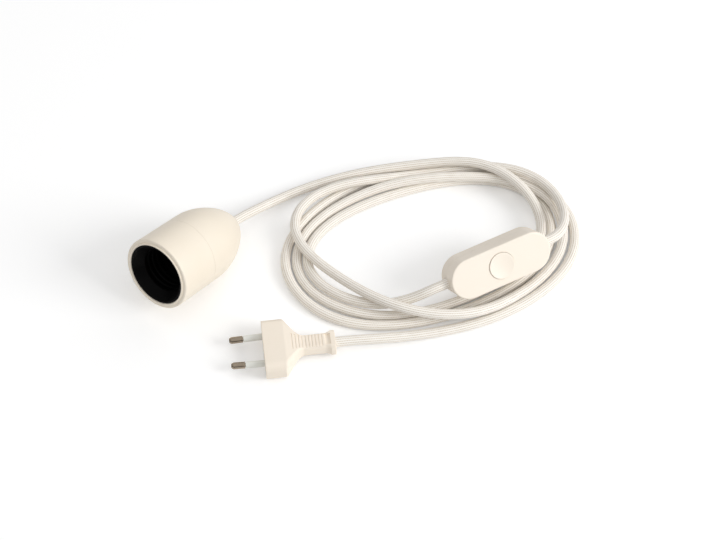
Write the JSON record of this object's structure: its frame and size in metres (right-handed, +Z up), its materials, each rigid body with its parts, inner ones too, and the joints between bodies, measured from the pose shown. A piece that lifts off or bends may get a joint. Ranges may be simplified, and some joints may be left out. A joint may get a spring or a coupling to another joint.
{
  "type": "table lamp cord set",
  "caption": "Screw lamp holder with an egg-shaped cover on a round woven cord, coiled on the table, with an in-line push switch and a flat moulded plug.",
  "frame": {"origin": "on the supporting surface, below the middle of the lamp holder's bounding box", "axes": "+X is the way the holder's open mouth looks in plan, +Z up, and the coiled cord lies towards +Y"},
  "size_m": [0.2247, 0.2047, 0.0537],
  "materials": {
    "ivory_plastic": "satin",
    "black_plastic": "satin",
    "white_insulator": "matte",
    "brass": "satin",
    "steel": "satin",
    "nickel": "satin",
    "pin_sleeve": "matte",
    "woven_cord": "woven",
    "brown_core": "satin",
    "blue_core": "satin"
  },
  "bodies": {
    "set": {"button_spring": "steel", "case_screw_1": "steel", "case_screw_2": "steel", "centre_contact": "brass", "clamp_screw_in_1": "steel", "clamp_screw_in_2": "steel", "clamp_screw_out_1": "steel", "clamp_screw_out_2": "steel", "contact_carrier": "black_plastic", "cord_clamp_in": "white_insulator", "cord_clamp_out": "white_insulator", "cord_grip": "white_insulator", "cord_grip_screw": "steel", "cord_holder_to_switch": "woven_cord", "cord_switch_to_plug": "woven_cord", "core_screw_1": "steel", "core_screw_2": "steel", "fixed_contact_in": "brass", "fixed_contact_out": "brass", "front_sleeve": "ivory_plastic", "holder_terminal_live": "brass", "holder_terminal_neutral": "brass", "holder_terminal_screw_live": "steel", "holder_terminal_screw_neutral": "steel", "holder_wire_live": "brown_core", "holder_wire_neutral": "blue_core", "neutral_link": "brass", "pin_live": "nickel", "pin_neutral": "nickel", "pin_sleeve_live": "pin_sleeve", "pin_sleeve_neutral": "pin_sleeve", "plug_body": "ivory_plastic", "plug_carrier": "white_insulator", "plug_wire_live": "brown_core", "plug_wire_neutral": "blue_core", "rear_dome": "ivory_plastic", "side_contact": "brass", "spring_seat": "white_insulator", "switch_base": "white_insulator", "switch_bottom_shell": "ivory_plastic", "switch_screw_live_in": "steel", "switch_screw_live_out": "steel", "switch_screw_neutral_in": "steel", "switch_screw_neutral_out": "steel", "switch_top_shell": "ivory_plastic", "switch_wire_live_in": "brown_core", "switch_wire_live_out": "brown_core", "switch_wire_neutral_in": "blue_core", "switch_wire_neutral_out": "blue_core", "thread_core": "black_plastic"},
    "button": {"push_button": "ivory_plastic", "contact_bridge": "brass"}
  },
  "joints": [
    {"name": "button_press", "type": "slide", "parent": "set", "child": "button", "axis": [-0.4201, -0.7108, -0.5642], "range_m": [0, 0.002], "stiffness_N_per_m": 400, "springref_m": -0.001, "deforming": ["button_spring"]}
  ]
}
